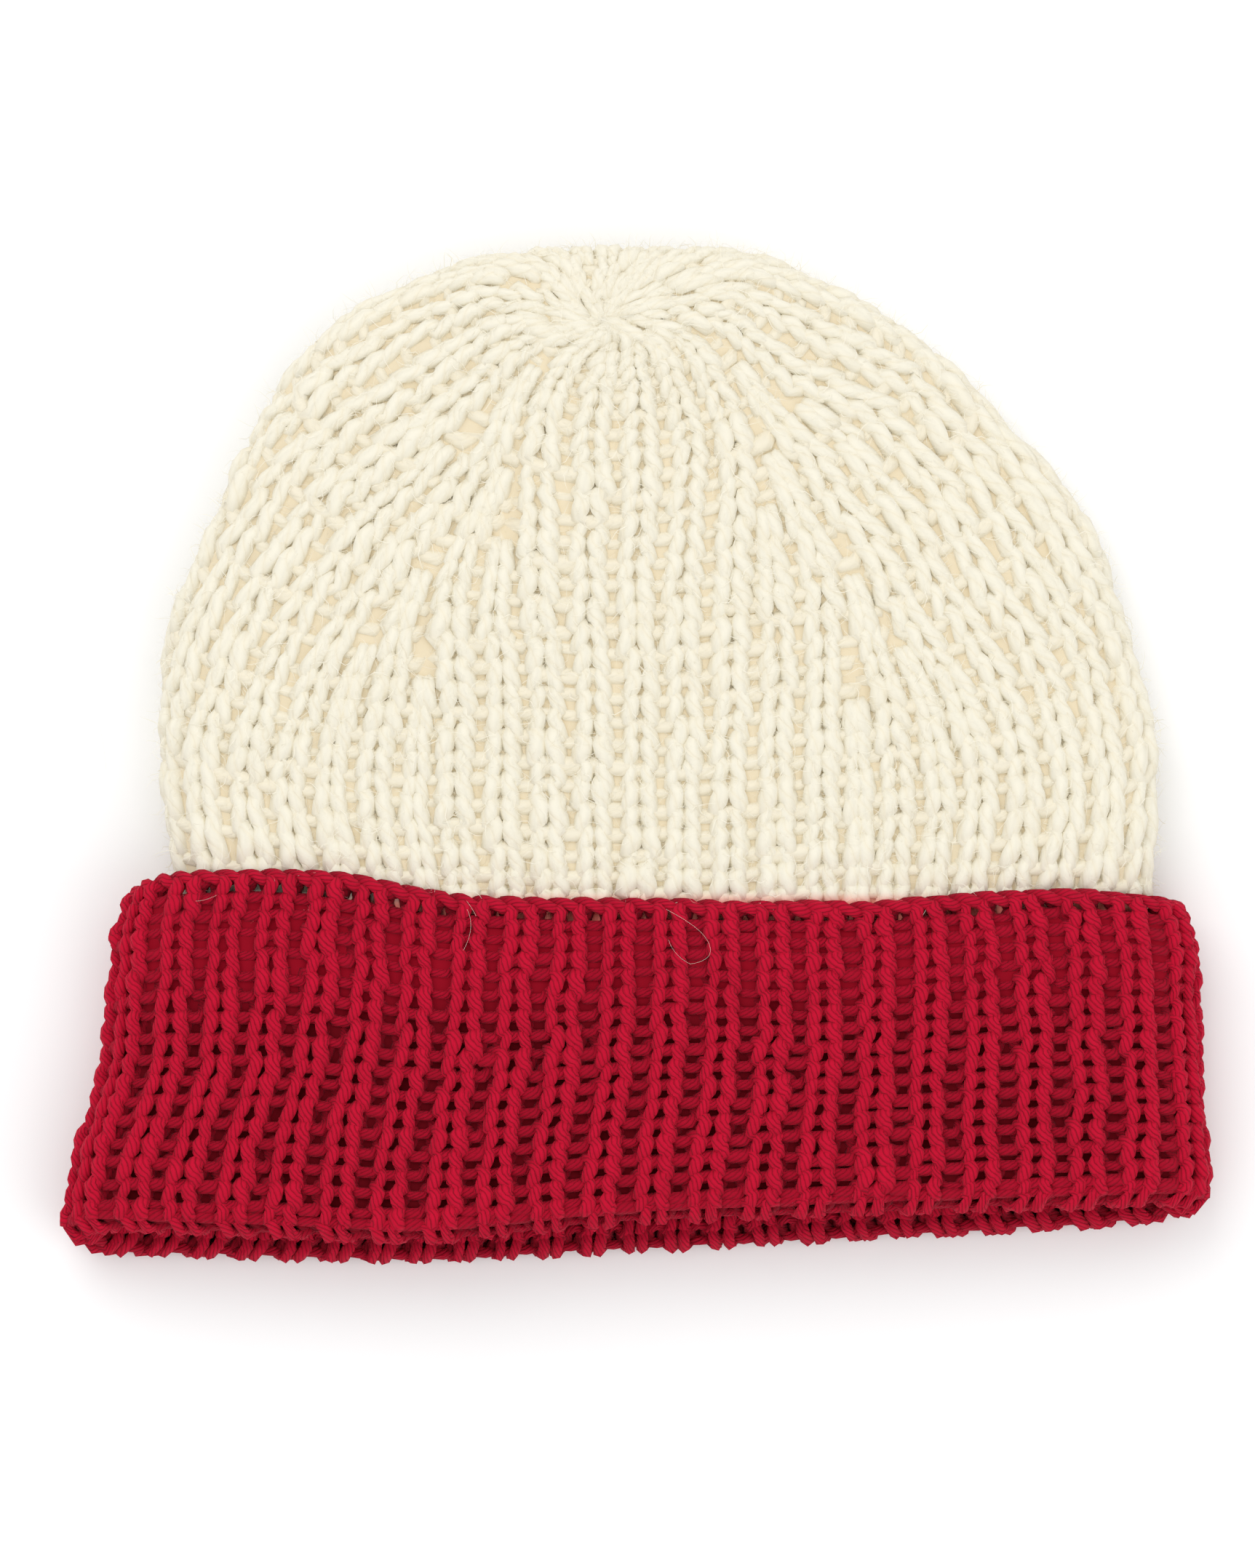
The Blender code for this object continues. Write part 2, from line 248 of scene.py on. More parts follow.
class Bench:
    """Adds nodes to a tree and joins them."""

    def __init__(self, tree):
        self.tree = tree
        self.given = tree.nodes.new("NodeGroupInput").outputs

    def add(self, kind, sockets=(), **settings):
        node = self.tree.nodes.new(kind)
        for key, value in settings.items():
            setattr(node, key, value)
        for key, value in dict(sockets).items():
            self.join(value, node.inputs[key])
        return node

    def join(self, value, socket):
        if isinstance(value, bpy.types.NodeSocket):
            self.tree.links.new(value, socket)
        else:
            socket.default_value = value

    def math(self, operation, first, second=0.0, third=0.0):
        node = self.add("ShaderNodeMath", {0: first, 1: second, 2: third}, operation=operation)
        return node.outputs[0]

    def vector(self, operation, first, second=(0, 0, 0)):
        node = self.add("ShaderNodeVectorMath", {0: first, 1: second}, operation=operation)
        return node.outputs["Vector"]

    def scaled(self, vector, factor):
        node = self.add("ShaderNodeVectorMath", {0: vector, "Scale": factor}, operation="SCALE")
        return node.outputs["Vector"]

    def named(self, name, kind="FLOAT"):
        node = self.add("GeometryNodeInputNamedAttribute", {"Name": name}, data_type=kind)
        return node.outputs["Attribute"]

    def finish(self, geometry, material):
        realized = self.add("GeometryNodeRealizeInstances", {"Geometry": geometry})
        painted = self.add(
            "GeometryNodeSetMaterial", {"Geometry": realized.outputs[0], "Material": material}
        )
        out = self.tree.nodes.new("NodeGroupOutput")
        self.tree.links.new(painted.outputs[0], out.inputs[0])


# How fast the wander of the loops changes along the knit, and how much stronger it is that way.
WANDER_ALONG = 1.3
WANDER_RISE = 3.0


def rib_knit_tree():
    """Knitted loops: one closed yarn for each course, laid on a charted surface.

    The geometry is the rib chart, a vertex for each rib and course at (round, along). Each becomes the
    points of one knit and one purl loop, read from the loop pattern.
    """
    tree = node_tree(
        "Rib knit",
        [
            ("Geometry", "Geometry", None),
            ("Surface", "Object", None),
            ("Loop", "Object", None),
            ("Points a Rib", "Int", 24),
            ("Yarn Radius", "Float", 0.0013),
            ("Depth", "Float", 0.0013),
            ("Wander", "Float", 0.002),
            ("Wander Size", "Float", 6.0),
            ("Sides", "Int", 6),
            ("Floor", "Float", 0.0002),
            ("Seed", "Float", 1.0),
            ("Yarn", "Material", None),
        ],
    )
    b = Bench(tree)
    given = b.given
    dots = b.add("GeometryNodeMeshToPoints", {"Mesh": given["Geometry"]})
    each = b.add(
        "GeometryNodeDuplicateElements",
        {"Geometry": dots.outputs[0], "Amount": given["Points a Rib"]},
        domain="POINT",
    )
    pattern = b.add("GeometryNodeObjectInfo", {"Object": given["Loop"]})
    spot = b.add("GeometryNodeInputPosition").outputs[0]
    read = b.add(
        "GeometryNodeSampleIndex",
        {"Geometry": pattern.outputs["Geometry"], "Value": spot, "Index": each.outputs[1]},
        data_type="FLOAT_VECTOR",
        domain="POINT",
    )
    thick = b.add(
        "GeometryNodeSampleIndex",
        {
            "Geometry": pattern.outputs["Geometry"],
            "Value": b.named("thickness"),
            "Index": each.outputs[1],
        },
        data_type="FLOAT",
        domain="POINT",
    )
    laid = b.add("GeometryNodeStoreNamedAttribute", {
        "Geometry": each.outputs[0], "Name": "loop", "Value": read.outputs[0],
    }, data_type="FLOAT_VECTOR", domain="POINT")
    laid = b.add("GeometryNodeStoreNamedAttribute", {
        "Geometry": laid.outputs[0], "Name": "thickness", "Value": thick.outputs[0],
    }, data_type="FLOAT", domain="POINT")
    loop = b.add("ShaderNodeSeparateXYZ", {0: b.named("loop", "FLOAT_VECTOR")}).outputs
    chart = b.add("ShaderNodeSeparateXYZ", {0: spot}).outputs
    around = b.math("MULTIPLY_ADD", loop[0], b.named("rib_width"), chart[0])
    around = b.math("MULTIPLY_ADD", loop[1], b.named("drift"), around)
    along = b.math("MULTIPLY_ADD", loop[1], b.named("rise"), chart[1])
    wandered = b.add(
        "ShaderNodeTexNoise",
        {
            "Vector": b.add(
                "ShaderNodeCombineXYZ",
                {
                    0: b.math("SINE", b.math("MULTIPLY", around, 2 * math.pi)),
                    1: b.math("COSINE", b.math("MULTIPLY", around, 2 * math.pi)),
                    2: b.math("ADD", b.math("MULTIPLY", along, WANDER_ALONG), given["Seed"]),
                },
            ).outputs[0],
            "Scale": given["Wander Size"],
            "Detail": 1.0,
        },
        noise_dimensions="3D",
    )
    shift = b.add("ShaderNodeSeparateXYZ", {0: wandered.outputs["Color"]}).outputs
    around = b.math(
        "ADD", around, b.math("MULTIPLY", b.math("SUBTRACT", shift[0], 0.5), given["Wander"])
    )
    around = b.math("FRACT", b.math("ADD", around, 1.0))
    risen = b.math("MULTIPLY", b.math("SUBTRACT", shift[1], 0.5), WANDER_RISE)
    along = b.math("ADD", along, b.math("MULTIPLY", risen, given["Wander"]))
    along = b.math("MINIMUM", b.math("MAXIMUM", along, 0.0), 1.0)
    place = b.add("ShaderNodeCombineXYZ", {0: around, 1: along}).outputs[0]
    surface = b.add("GeometryNodeObjectInfo", {"Object": given["Surface"]}).outputs["Geometry"]
    chart_map = b.named("chart", "FLOAT_VECTOR")
    found = []
    for value in (spot, b.named("facing", "FLOAT_VECTOR")):
        sample = b.add("GeometryNodeSampleUVSurface", data_type="FLOAT_VECTOR")
        b.join(surface, sample.inputs["Mesh"])
        b.join(value, sample.inputs["Value"])
        b.join(chart_map, sample.inputs["UV Map"])
        b.join(place, sample.inputs["Sample UV"])
        found.append(sample.outputs["Value"])
    proud = b.math("MULTIPLY", loop[2], given["Depth"])
    proud = b.math("ADD", proud, b.math("MULTIPLY", b.named("jitter"), given["Depth"]))
    target = b.vector("ADD", found[0], b.scaled(b.vector("NORMALIZE", found[1]), proud))
    moved = b.add("GeometryNodeSetPosition", {"Geometry": laid.outputs[0], "Position": target})
    yarns = b.add(
        "GeometryNodePointsToCurves",
        {"Points": moved.outputs[0], "Curve Group ID": b.named("course", "INT")},
    )
    closed = b.add("GeometryNodeSetSplineCyclic", {"Geometry": yarns.outputs[0], "Cyclic": True})
    length = b.add("GeometryNodeSplineParameter").outputs["Length"]
    lengths = b.add("GeometryNodeStoreNamedAttribute", {
        "Geometry": closed.outputs[0], "Name": "along", "Value": length,
    }, data_type="FLOAT", domain="POINT")
    radius = b.math("MULTIPLY", b.named("thickness"), given["Yarn Radius"])
    radius = b.math("MULTIPLY_ADD", radius, b.named("jitter"), radius)
    radius = b.math("MULTIPLY", radius, b.named("yarn_size"))
    sized = b.add("GeometryNodeSetCurveRadius", {"Curve": lengths.outputs[0], "Radius": radius})
    ring = b.add(
        "GeometryNodeCurvePrimitiveCircle", {"Resolution": given["Sides"], "Radius": 1.0}, mode="RADIUS"
    )
    ring = b.add("GeometryNodeStoreNamedAttribute", {
        "Geometry": ring.outputs["Curve"], "Name": "girth", "Value": spot,
    }, data_type="FLOAT_VECTOR", domain="POINT")
    tube = b.add(
        "GeometryNodeCurveToMesh", {"Curve": sized.outputs[0], "Profile Curve": ring.outputs[0]}
    )
    b.join(b.add("GeometryNodeInputRadius").outputs[0], tube.inputs["Scale"])
    at = b.add("ShaderNodeSeparateXYZ", {0: spot}).outputs
    pressed = b.add(
        "ShaderNodeCombineXYZ", {0: at[0], 1: at[1], 2: b.math("MAXIMUM", at[2], given["Floor"])}
    )
    rested = b.add(
        "GeometryNodeSetPosition", {"Geometry": tube.outputs[0], "Position": pressed.outputs[0]}
    )
    smooth = b.add("GeometryNodeSetShadeSmooth", {"Geometry": rested.outputs[0]})
    b.finish(smooth.outputs[0], given["Yarn"])
    return tree


def template(name, table):
    """A loop pattern as the vertices that the tree reads."""
    rows = np.array(table, float)
    mesh = bpy.data.meshes.new(name)
    mesh.from_pydata(rows[:, :3].tolist(), [], [])
    kept = mesh.attributes.new("thickness", "FLOAT", "POINT")
    kept.data.foreach_set("value", rows[:, 3])
    pattern = bpy.data.objects.new(name, mesh)
    bpy.context.scene.collection.objects.link(pattern)
    return pattern


# Of the spread of a chart, how much moves a rib aside, and how much varies its depth and its yarn.
PLACE_SPREAD = 0.6
JITTER_SPREAD = 2


def rib_chart(name, courses, spread, seed):
    """The chart's vertices. Each course is (share along, its rise, yarn size, its ribs), and each rib is
    (place round, width, how far its column drifts round in a course)."""
    random = np.random.default_rng(seed)
    spots, widths, drifts, rises, sizes, numbers = [], [], [], [], [], []
    for number, (share, rise, size, ribs) in enumerate(courses):
        for place, width, drift in ribs:
            drifts.append(drift)
            aside = random.normal() * spread * width * PLACE_SPREAD
            spots.append((place + aside, share + random.normal() * spread * rise, 0.0))
            widths.append(width * (1 + random.normal() * spread))
            rises.append(rise * (1 + random.normal() * spread))
            sizes.append(size)
            numbers.append(number)
    mesh = bpy.data.meshes.new(name)
    mesh.from_pydata(spots, [], [])
    for label, kind, values in (
        ("rib_width", "FLOAT", widths),
        ("drift", "FLOAT", drifts),
        ("rise", "FLOAT", rises),
        ("yarn_size", "FLOAT", sizes),
        ("jitter", "FLOAT", random.normal(size=len(spots)) * spread * JITTER_SPREAD),
        ("course", "INT", numbers),
    ):
        mesh.attributes.new(label, kind, "POINT").data.foreach_set("value", values)
    chart = bpy.data.objects.new(name, mesh)
    bpy.context.scene.collection.objects.link(chart)
    return chart


def course_lines(steps):
    """Each course's start and rise, as shares, from the relative rise of each."""
    rises = np.array(steps) / sum(steps)
    return list(zip(np.cumsum(rises) - rises, rises))


def bake(name, tree, source, values):
    """Runs a tree on an object and keeps the result as a plain mesh."""
    modifier = source.modifiers.new(tree.name, "NODES")
    modifier.node_group = tree
    for item in tree.interface.items_tree:
        if item.item_type == "SOCKET" and item.in_out == "INPUT" and item.name in values:
            modifier[item.identifier] = values[item.name]
    bpy.context.view_layer.update()
    graph = bpy.context.evaluated_depsgraph_get()
    mesh = bpy.data.meshes.new_from_object(
        source.evaluated_get(graph), preserve_all_data_layers=True, depsgraph=graph
    )
    mesh.name = name
    piece = bpy.data.objects.new(name, mesh)
    bpy.context.scene.collection.objects.link(piece)
    bpy.data.objects.remove(source)
    return piece


WEB_WALL = 0.0003


def fibre_web(name, rows, outward, depths, material):
    """The felted fibres that bridge the holes of the knit: a thin wall inside its loops, at one depth
    from the middle surface for each row."""
    surface = knit_surface(name, rows, outward)
    mesh = surface.data
    count = len(mesh.vertices)
    facing = np.empty(count * 3)
    mesh.attributes["facing"].data.foreach_get("vector", facing)
    points = np.empty(count * 3)
    mesh.vertices.foreach_get("co", points)
    points += facing * np.repeat(depths, count * 3 // len(rows))
    mesh.vertices.foreach_set("co", points)
    wall = surface.modifiers.new("Web", "SOLIDIFY")
    wall.thickness = WEB_WALL
    wall.offset = 0
    mesh.materials.append(material)
    mesh.shade_smooth()
    return surface


# Fibres grow where the yarn lies higher than this share of the knit's depth. Each is scaled in length,
# to the side and in height by between these two.
FLUFF_ABOVE = -0.2
LEAST_FIBRE = (0.5, -1.2, 0.2)
MOST_FIBRE = (1.5, 1.2, 1.3)


def fluff_tree():
    """Loose fibres that stand off the raised yarn, each a thin bent blade."""
    tree = node_tree(
        "Wool fluff",
        [
            ("Geometry", "Geometry", None),
            ("Fibre", "Object", None),
            ("Density", "Float", 100000.0),
            ("Length", "Float", 0.003),
            ("Floor", "Float", 0.0002),
            ("Lowest", "Float", -1.0),
            ("Seed", "Int", 1),
            ("Wool", "Material", None),
        ],
    )
    b = Bench(tree)
    given = b.given
    loop = b.add("ShaderNodeSeparateXYZ", {0: b.named("loop", "FLOAT_VECTOR")}).outputs
    raised = b.add(
        "FunctionNodeCompare", {0: loop[2], 1: FLUFF_ABOVE}, data_type="FLOAT", operation="GREATER_THAN"
    )
    spot = b.add("ShaderNodeSeparateXYZ", {0: b.add("GeometryNodeInputPosition").outputs[0]}).outputs
    in_view = b.add(
        "FunctionNodeCompare", {0: spot[1], 1: given["Lowest"]}, data_type="FLOAT", operation="GREATER_THAN"
    )
    chosen = b.add(
        "FunctionNodeBooleanMath", {0: raised.outputs[0], 1: in_view.outputs[0]}, operation="AND"
    )
    roots = b.add(
        "GeometryNodeDistributePointsOnFaces",
        {
            "Mesh": given["Geometry"],
            "Selection": chosen.outputs[0],
            "Density": given["Density"],
            "Seed": given["Seed"],
        },
        distribute_method="RANDOM",
    )
    spin = b.add("FunctionNodeRandomValue", {"Max": 2 * math.pi, "Seed": 1}, data_type="FLOAT")
    spun = b.add("ShaderNodeCombineXYZ", {2: spin.outputs[1]})
    turned = b.add(
        "FunctionNodeRotateRotation",
        {"Rotation": roots.outputs["Rotation"], "Rotate By": spun.outputs[0]},
        rotation_space="LOCAL",
    )
    stretch = b.add("FunctionNodeRandomValue", data_type="FLOAT_VECTOR")
    stretch.inputs[0].default_value = LEAST_FIBRE
    stretch.inputs[1].default_value = MOST_FIBRE
    blade = b.add("GeometryNodeObjectInfo", {"Object": given["Fibre"]})
    grown = b.add(
        "GeometryNodeInstanceOnPoints",
        {
            "Points": roots.outputs["Points"],
            "Instance": blade.outputs["Geometry"],
            "Rotation": turned.outputs[0],
            "Scale": b.scaled(stretch.outputs[0], given["Length"]),
        },
    )
    loose = b.add("GeometryNodeRealizeInstances", {"Geometry": grown.outputs[0]})
    at = b.add("ShaderNodeSeparateXYZ", {0: b.add("GeometryNodeInputPosition").outputs[0]}).outputs
    pressed = b.add(
        "ShaderNodeCombineXYZ", {0: at[0], 1: at[1], 2: b.math("MAXIMUM", at[2], given["Floor"])}
    )
    rested = b.add(
        "GeometryNodeSetPosition", {"Geometry": loose.outputs[0], "Position": pressed.outputs[0]}
    )
    b.finish(rested.outputs[0], given["Wool"])
    return tree


WOOL_FLUFF = fluff_tree()

# A fibre of length 1: it leaves the yarn at a slant and bends over.
FIBRE_BENDS = [(0.00, 0.00, 0.00, 0.014), (0.40, 0.16, 0.20, 0.013), (0.80, 0.02, 0.26, 0.009)]
FIBRE_TIP = (1.05, -0.16, 0.18)


def fibre_blade():
    """The bent blade that each fibre is a copy of."""
    points = []
    for x, y, z, half in FIBRE_BENDS:
        points += [(x, y - half, z), (x, y + half, z)]
    points.append(FIBRE_TIP)
    faces = [(0, 2, 3, 1), (2, 4, 5, 3), (4, 6, 5)]
    mesh = bpy.data.meshes.new("fibre")
    mesh.from_pydata(points, [], faces)
    mesh.shade_smooth()
    blade = bpy.data.objects.new("fibre", mesh)
    bpy.context.scene.collection.objects.link(blade)
    return blade


fibre = fibre_blade()


def fluff(name, piece, density, length, lowest, seed, material):
    """The loose fibres on a knitted piece."""
    source = piece.copy()
    bpy.context.scene.collection.objects.link(source)
    return bake(
        name,
        WOOL_FLUFF,
        source,
        {
            "Fibre": fibre,
            "Density": density,
            "Length": length,
            "Lowest": lowest,
            "Seed": seed,
            "Wool": material,
        },
    )


def even_ribs(count):
    """Ribs of one width, the middle of one at the middle of the front."""
    return [(number / count, 1 / count, 0.0) for number in range(count)]


# The noise of the fibres is read on a yarn of this radius, drawn out along it by this share. Plies are
# rounded by this power, and the fibres add this share of a ply's height.
FIBRE_RADIUS = 0.0013
FIBRE_STRETCH = 0.12
PLY_POWER = 0.6
FIBRE_HEIGHT = 0.9


def yarn_twist_group():
    """Plies and fibres of a yarn from its own length and girth: height, groove and fibre masks."""
    group = bpy.data.node_groups.new("Yarn twist", "ShaderNodeTree")
    for label, value in (("Plies", 4.0), ("Ply Length", 0.0105), ("Fibre Size", 0.0004)):
        group.interface.new_socket(label, in_out="INPUT", socket_type="NodeSocketFloat")
        group.interface.items_tree[label].default_value = value
    for label in ("Height", "Groove", "Fibre"):
        group.interface.new_socket(label, in_out="OUTPUT", socket_type="NodeSocketFloat")
    b = Bench(group)
    girth = b.add("ShaderNodeAttribute", attribute_name="girth").outputs["Vector"]
    side = b.add("ShaderNodeSeparateXYZ", {0: girth}).outputs
    angle = b.math("ARCTAN2", side[1], side[0])
    along = b.add("ShaderNodeAttribute", attribute_name="along").outputs["Fac"]
    turn = b.math("DIVIDE", b.math("MULTIPLY", along, 2 * math.pi), b.given["Ply Length"])
    phase = b.math("ADD", angle, turn)
    turned = b.math("MULTIPLY", b.math("MULTIPLY", phase, 0.5), b.given["Plies"])
    ply = b.math("ABSOLUTE", b.math("COSINE", turned))
    place = b.add(
        "ShaderNodeCombineXYZ",
        {
            0: b.math("MULTIPLY", b.math("COSINE", phase), FIBRE_RADIUS),
            1: b.math("MULTIPLY", b.math("SINE", phase), FIBRE_RADIUS),
            2: b.math("MULTIPLY", along, FIBRE_STRETCH),
        },
    ).outputs[0]
    fibre = b.add(
        "ShaderNodeTexNoise",
        {"Vector": place, "Scale": b.math("DIVIDE", 1.0, b.given["Fibre Size"]), "Detail": 3.0},
    ).outputs["Fac"]
    rounded = b.math("POWER", ply, PLY_POWER)
    height = b.math("ADD", rounded, b.math("MULTIPLY", b.math("SUBTRACT", fibre, 0.5), FIBRE_HEIGHT))
    out = group.nodes.new("NodeGroupOutput")
    group.links.new(height, out.inputs["Height"])
    group.links.new(rounded, out.inputs["Groove"])
    group.links.new(fibre, out.inputs["Fibre"])
    return group


YARN_TWIST = yarn_twist_group()

# The size and strength of the paler and deeper patches, and how far the fibres break up the painted shade
# of the ply grooves.
PATCH_SCALE = 90.0
PATCH_STRENGTH = 0.5
FIBRE_HAZE = 0.35


def wool(name, colours, plies, ply_length, relief, sheen, tint, low_painted_light=None):
    """Yarn of matt wool. colours are deep in the knit, in its ply grooves and at its surface; the deep and
    groove colours are darker, as painted shade. The colour given last is painted low on the hat, with the
    heights over the edge where it fades and is gone: painted red light bounced from the cuff on the cream
    wool, painted shade on the crimson fibres."""
    material = bpy.data.materials.new(name)
    material.use_nodes = True
    b = Bench(material.node_tree)
    shader = material.node_tree.nodes["Principled BSDF"]
    twist = b.add("ShaderNodeGroup", node_tree=YARN_TWIST)
    twist.inputs["Plies"].default_value = plies
    twist.inputs["Ply Length"].default_value = ply_length
    deep, groove, top = colours
    loop = b.add("ShaderNodeAttribute", attribute_name="loop").outputs["Vector"]
    depth = b.add("ShaderNodeSeparateXYZ", {0: loop}).outputs[2]
    raised = b.add(
        "ShaderNodeMapRange", {"Value": depth, "From Min": -1.0, "From Max": 0.9}
    ).outputs["Result"]
    patch = b.add(
        "ShaderNodeTexNoise",
        {"Vector": b.add("ShaderNodeTexCoord").outputs["Object"], "Scale": PATCH_SCALE, "Detail": 2.0},
    ).outputs["Fac"]
    # Painted shade: the colour darkens from the surface colour to the deep one the deeper the yarn lies in
    # the knit, broken by random patches of tone.
    plain = b.add("ShaderNodeMix", data_type="RGBA")
    patched = b.math("MULTIPLY_ADD", b.math("SUBTRACT", patch, 0.5), PATCH_STRENGTH, raised)
    b.join(patched, plain.inputs["Factor"])
    b.join(deep, plain.inputs["A"])
    b.join(top, plain.inputs["B"])
    # Painted shade in the grooves between the plies: the groove colour shows there, partly hidden by the
    # noise of the fibres.
    groove_shaded = b.add("ShaderNodeMix", data_type="RGBA")
    ply_top_share = b.math("MULTIPLY_ADD", twist.outputs["Fibre"], FIBRE_HAZE, twist.outputs["Groove"])
    b.join(b.math("MINIMUM", ply_top_share, 1.0), groove_shaded.inputs["Factor"])
    b.join(groove, groove_shaded.inputs["A"])
    b.join(plain.outputs["Result"], groove_shaded.inputs["B"])
    colour = groove_shaded.outputs["Result"]
    # Painted light low on the hat: below the edge the colour is painted red bounce light on the cream wool
    # and painted shade on the crimson fibres, fading out higher up.
    if low_painted_light:
        painted_low_colour, fades, gone = low_painted_light
        place = b.add("ShaderNodeSeparateXYZ", {0: b.add("ShaderNodeTexCoord").outputs["Object"]})
        above = b.add(
            "ShaderNodeMapRange",
            {"Value": place.outputs[1], "From Min": EDGE_Y + fades, "From Max": EDGE_Y + gone},
            interpolation_type="SMOOTHERSTEP",
        ).outputs["Result"]
        lower_painted = b.add("ShaderNodeMix", data_type="RGBA")
        b.join(above, lower_painted.inputs["Factor"])
        b.join(painted_low_colour, lower_painted.inputs["A"])
        b.join(colour, lower_painted.inputs["B"])
        colour = lower_painted.outputs["Result"]
    b.join(colour, shader.inputs["Base Color"])
    shader.inputs["Roughness"].default_value = 0.92
    shader.inputs["Specular IOR Level"].default_value = 0.12
    shader.inputs["Sheen Weight"].default_value = sheen
    shader.inputs["Sheen Roughness"].default_value = 0.55
    shader.inputs["Sheen Tint"].default_value = tint
    bump = b.add("ShaderNodeBump", {"Height": twist.outputs["Height"], "Distance": relief})
    b.join(bump.outputs["Normal"], shader.inputs["Normal"])
    return material


CRIMSON_SHEEN = (1.0, 0.35, 0.45, 1)
# Painted shade: the crimson is darker deep in the knit and in its ply grooves than at its surface.
CRIMSON_WOOL = wool(
    "crimson wool",
    ((0.20, 0.001, 0.009, 1), (0.30, 0.002, 0.014, 1), (0.52, 0.004, 0.029, 1)),
    plies=7, ply_length=0.0105, relief=0.00030, sheen=0.06, tint=CRIMSON_SHEEN,
)
CRIMSON_YARN = {
    "Yarn Radius": 0.00140,
    "Depth": 0.00125,
    "Wander": 0.006,
    "Wander Size": 1.6,
    "Yarn": CRIMSON_WOOL,
}
# One knit and one purl loop: across in rib widths from the knit's middle, along in courses, depth in
# shares of the knit's depth, and thickness of the yarn. A purl loop is the same from behind.
CUFF_LOOP = [
    (-0.265, -0.22, 0.10, 0.90),
    (-0.205, -0.14, 0.72, 0.98),
    (-0.160, 0.12, 1.02, 1.12),
    (-0.195, 0.48, 1.04, 1.12),
    (-0.240, 0.86, 0.54, 1.02),
    (-0.120, 1.12, 0.20, 1.06),
    (0.130, 1.12, 0.20, 1.06),
    (0.245, 0.86, 0.58, 1.12),
    (0.200, 0.48, 1.08, 1.26),
    (0.150, 0.12, 1.06, 1.26),
    (0.205, -0.14, 0.76, 1.08),
]


def knit_and_purl(table, bulge):
    """A knit loop and the purl loop after it, whose head bulges forward."""
    purl = []
    for across, along, depth, thick in table:
        head = bulge * max(0, 1 - abs(depth))
        purl.append((across + 0.5, along, head - depth, thick))
    return table + purl


PURL_BULGE = 0.18
CUFF_STEPS = [0.70, 0.76, 0.84, 0.92] + [1.0] * 13
CUFF_SPLIT = 8
CUFF_LOOP_START = 0.5
CUFF_LINES_UP = course_lines(CUFF_STEPS)
CUFF_RISE = CUFF_LINES_UP[-1][1]
CUFF_STRETCH = 0.10
CUFF_STRETCH_PLACE = 0.586
OUTSIDE_ROWS = 15
RIB_KNIT = rib_knit_tree()
cuff_shares = eased(np.linspace(0, 1, AROUND_STEPS + 1), CUFF_STRETCH, CUFF_STRETCH_PLACE)
outer_rows = [
    (row / OUTSIDE_ROWS, place_loop(cuff_outside(1 - row / OUTSIDE_ROWS), cuff_shares))
    for row in range(OUTSIDE_ROWS + 1)
]
outer_surface = knit_surface("outer chart", outer_rows, -1)
cuff_loop = template("cuff loop", knit_and_purl(CUFF_LOOP, PURL_BULGE))
for half, (first, last) in {"upper": (0, CUFF_SPLIT), "lower": (CUFF_SPLIT, len(CUFF_STEPS))}.items():
    courses = [
        (start + CUFF_LOOP_START * rise, rise, 1.0, even_ribs(RIBS))
        for start, rise in CUFF_LINES_UP[first:last]
    ]
    chart = rib_chart(f"cuff chart {half}", courses, spread=0.05, seed=11 + first)
    piece = bake(
        f"cuff_turnup_{half}",
        RIB_KNIT,
        chart,
        {
            **CRIMSON_YARN,
            "Surface": outer_surface,
            "Loop": cuff_loop,
            "Points a Rib": 2 * len(CUFF_LOOP),
            "Seed": 3.0,
        },
    )
    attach(piece, "root")
    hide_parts("cuff")

# The cast-on edge: the first yarn, twisted round itself once for each rib along the top of the band.
CAST_ON_PLACE = 0.15
CAST_ON_SWING = 0.21
CAST_ON_DEPTH = 0.75
CAST_ON_THICKNESS = 0.9
CAST_ON_POINTS = 10
CAST_ON = [
    (
        turn - 0.5,
        CAST_ON_SWING * math.sin(2 * math.pi * turn),
        CAST_ON_DEPTH * math.cos(2 * math.pi * turn),
        CAST_ON_THICKNESS,
    )
    for turn in np.linspace(0, 1, CAST_ON_POINTS, endpoint=False)
]
cast_on_loop = template("cast-on loop", CAST_ON)
crossing_loop = template("crossing loop", [(x, -y, -z, thick) for x, y, z, thick in CAST_ON])
for strand, pattern in {"first": cast_on_loop, "second": crossing_loop}.items():
    course = (CAST_ON_PLACE * CUFF_RISE, CUFF_RISE, 1.0, even_ribs(RIBS))
    chart = rib_chart(f"cast-on {strand}", [course], spread=0.04, seed=5)
    piece = bake(
        f"cuff_cast_on_{strand}_strand",
        RIB_KNIT,
        chart,
        {
            **CRIMSON_YARN,
            "Surface": outer_surface,
            "Loop": pattern,
            "Points a Rib": len(CAST_ON),
            "Seed": 3.0,
        },
    )
    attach(piece, "root")
    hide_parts("cuff")

# Fibres of the crimson wool bridge the holes, except just under the edge. The fibres are real; their
# colour, darker than the yarn's surface and darker again low on the cuff, is painted shade in the holes.
CRIMSON_WEB = wool(
    "crimson fibres",
    ((0.25, 0.002, 0.011, 1), (0.25, 0.002, 0.011, 1), (0.30, 0.002, 0.014, 1)),
    plies=5, ply_length=0.0072, relief=0.0001, sheen=0.0, tint=CRIMSON_SHEEN,
    low_painted_light=((0.12, 0.001, 0.005, 1), -0.032, -0.013),
)
web_depths = np.interp(np.arange(1, OUTSIDE_ROWS + 1), [1, 4, 7], [0.0003, 0.0001, -0.0008])
piece = fibre_web("cuff_fibres", outer_rows[1:], -1, web_depths, CRIMSON_WEB)
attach(piece, "root")
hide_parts("cuff")


